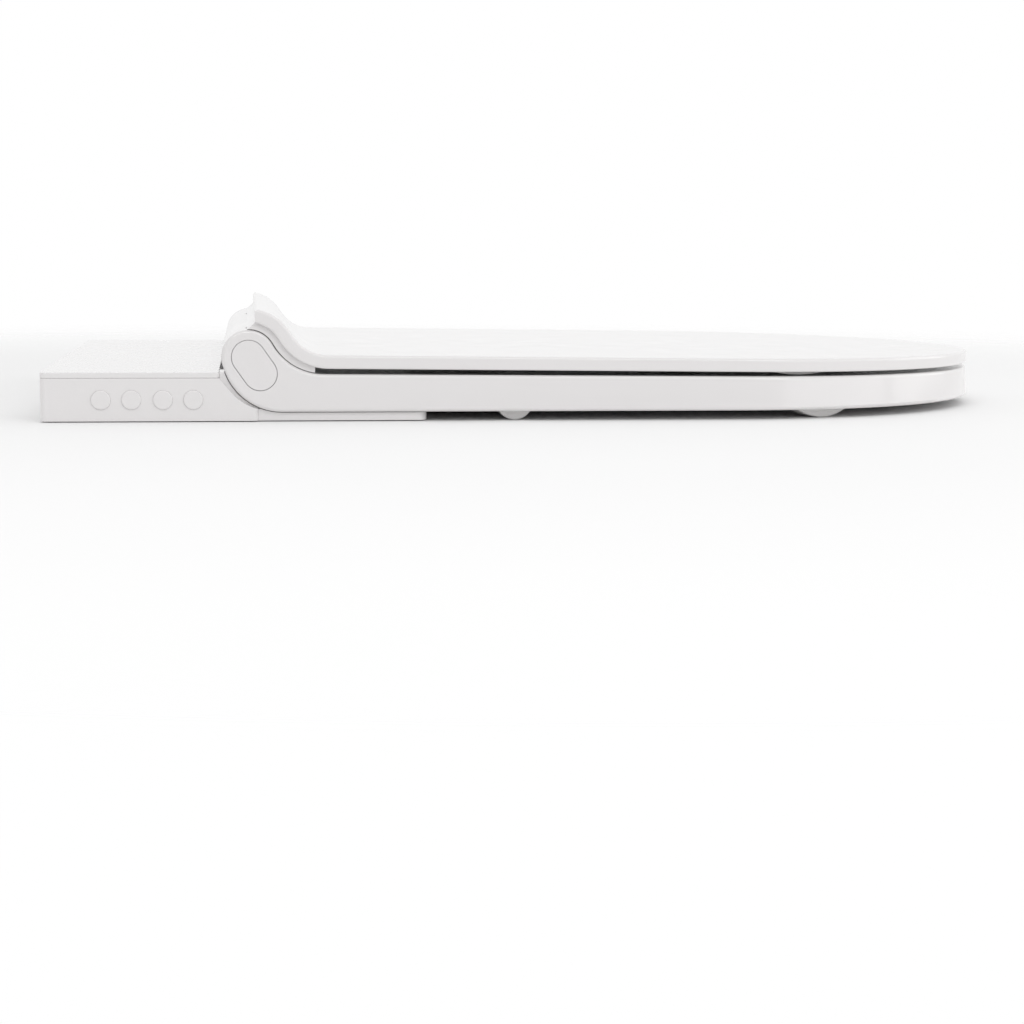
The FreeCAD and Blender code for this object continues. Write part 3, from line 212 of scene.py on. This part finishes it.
def make_materials():
    """One material for each slot of the CAD record, found by the slot's name."""
    return {
        "shell_white": gloss_white("shell_white", roughness=0.16),
        "seat_white": gloss_white("seat_white", roughness=0.14),
        "button_white": gloss_white("button_white", roughness=0.22),
        "buffer_rubber": satin("buffer_rubber", BUFFER_WHITE, roughness=0.30),
        "pad_rubber": satin("pad_rubber", PAD_GREY, roughness=0.6),
        "inner_plastic": satin("inner_plastic", NATURAL_PLASTIC, roughness=0.45),
        "dark_plastic": satin("dark_plastic", BLACK_PLASTIC, roughness=0.4),
        "damper_plastic": satin("damper_plastic", DAMPER_GREY, roughness=0.38),
        "steel": metal("steel", STEEL, roughness=0.3, stretch=(1.0, 40.0, 40.0)),
        "board_green": circuit_board(),
        "foil": metal("foil", COPPER, roughness=0.35, stretch=(30.0, 1.0, 30.0)),
        "hose_clear": soft_tube(),
    }


def dress_cad_nodes():
    """Give every CAD node the detailed material of its slot."""
    materials = make_materials()
    slot_of = {s["node"]: s["material_slot"] for s in frame["record"]["subparts"]}
    for name, piece in nodes.items():
        piece.data.materials.clear()
        piece.data.materials.append(materials[slot_of[name]])


# --- studio ---
def object_middle():
    return (cad_low + cad_high) / 2


def floor_material():
    """Pale matt floor that turns transparent towards its rim."""
    shader = Shader("floor", IOR=1.3, Roughness=0.75)
    shader.blend_colour(shader.noise(scale=1.5), dark=FLOOR_DARK, light=FLOOR_LIGHT)
    reach = shader.add("ShaderNodeVectorMath", operation="LENGTH")
    shader.link(shader.coords, reach.inputs[0])
    fade = shader.add("ShaderNodeMapRange", interpolation_type="SMOOTHSTEP")
    fade.inputs["From Min"].default_value = FLOOR_FADE
    fade.inputs["From Max"].default_value = FLOOR_RADIUS
    shader.link(reach.outputs["Value"], fade.inputs["Value"])
    mix = shader.add("ShaderNodeMixShader")
    shader.link(fade.outputs["Result"], mix.inputs["Fac"])
    shader.link(shader.bsdf.outputs["BSDF"], mix.inputs[1])
    shader.link(shader.add("ShaderNodeBsdfTransparent").outputs["BSDF"], mix.inputs[2])
    shader.link(mix.outputs["Shader"], shader.tree.nodes["Material Output"].inputs["Surface"])
    return shader.material


def floor():
    """Disc under the object that fades into the white surroundings, so that no horizon shows."""
    mesh = bpy.data.meshes.new("floor")
    turns = [math.tau * i / FLOOR_SIDES for i in range(FLOOR_SIDES)]
    rim = [(FLOOR_RADIUS * math.cos(a), FLOOR_RADIUS * math.sin(a), 0) for a in turns]
    mesh.from_pydata(rim, [], [range(FLOOR_SIDES)])
    mesh.materials.append(floor_material())
    piece = bpy.data.objects.new("floor", mesh)
    piece.location = (0, object_middle().y, 0)
    bpy.context.scene.collection.objects.link(piece)


def sky_strength(tree):
    """Strength of the surroundings, which grows upwards and towards the object's left side."""
    coords = tree.nodes.new("ShaderNodeTexCoord")
    towards = tree.nodes.new("ShaderNodeVectorMath")
    towards.operation = "DOT_PRODUCT"
    towards.inputs[1].default_value = SKY_LEAN
    level = tree.nodes.new("ShaderNodeMath")
    level.operation = "ADD"
    level.inputs[1].default_value = SKY_LEVEL
    tree.links.new(coords.outputs["Generated"], towards.inputs[0])
    tree.links.new(towards.outputs["Value"], level.inputs[0])
    return level.outputs["Value"]


def world():
    """Surroundings that the camera sees as plain white, and that light the object unevenly."""
    scene = bpy.context.scene
    scene.view_settings.view_transform = "Standard"
    scene.view_settings.look = "None"
    scene.world = bpy.data.worlds.new("studio")
    scene.world.use_nodes = True
    tree = scene.world.node_tree
    seen = tree.nodes["Background"]
    lit = tree.nodes.new("ShaderNodeBackground")
    for background in (seen, lit):
        background.inputs["Color"].default_value = (1, 1, 1, 1)
    tree.links.new(sky_strength(tree), lit.inputs["Strength"])
    path = tree.nodes.new("ShaderNodeLightPath")
    mix = tree.nodes.new("ShaderNodeMixShader")
    tree.links.new(path.outputs["Is Camera Ray"], mix.inputs["Fac"])
    tree.links.new(lit.outputs["Background"], mix.inputs[1])
    tree.links.new(seen.outputs["Background"], mix.inputs[2])
    tree.links.new(mix.outputs["Shader"], tree.nodes["World Output"].inputs["Surface"])


def softbox(name, turn, distance, height, size, radiance):
    """Rectangular light facing the object, turned about it: 0 is its right side, 90 its front."""
    width, length = size
    light = bpy.data.lights.new(name, "AREA")
    light.shape = "RECTANGLE"
    light.size = width
    light.size_y = length
    light.energy = radiance * math.pi * width * length
    angle = math.radians(turn)
    middle = object_middle()
    place = middle + Vector((-math.cos(angle), -math.sin(angle), 0)) * distance
    place.z = height
    piece = bpy.data.objects.new(name, light)
    piece.location = place
    piece.rotation_euler = (middle - place).to_track_quat("-Z", "Y").to_euler()
    bpy.context.scene.collection.objects.link(piece)


def lights():
    for name, settings in SOFTBOXES.items():
        softbox(name, **settings)


def camera_turn():
    """Rotation of a camera that looks along +X, then is turned by CAMERA_TURN."""
    yaw, pitch, roll = (math.radians(angle) for angle in CAMERA_TURN)
    ahead = Vector((
        math.cos(pitch) * math.cos(yaw),
        -math.cos(pitch) * math.sin(yaw),
        -math.sin(pitch),
    ))
    return ahead.to_track_quat("-Z", "Y").to_matrix().to_4x4() @ Matrix.Rotation(roll, 4, "Z")


def camera():
    """A little above the seat, straight out from the hinge on the object's right side."""
    hinge = next(Vector(j["pos_m"]) for j in frame["joints"] if j["name"] == "seat_hinge")
    lens = bpy.data.cameras.new("camera")
    lens.lens = LENS
    lens.sensor_width = SENSOR_WIDTH
    lens.clip_start = CLIP_START
    eye = bpy.data.objects.new("camera", lens)
    eye.matrix_world = Matrix.Translation(hinge + Vector(CAMERA_FROM_HINGE)) @ camera_turn()
    bpy.context.scene.collection.objects.link(eye)
    bpy.context.scene.camera = eye


dress_cad_nodes()
floor()
world()
lights()
camera()
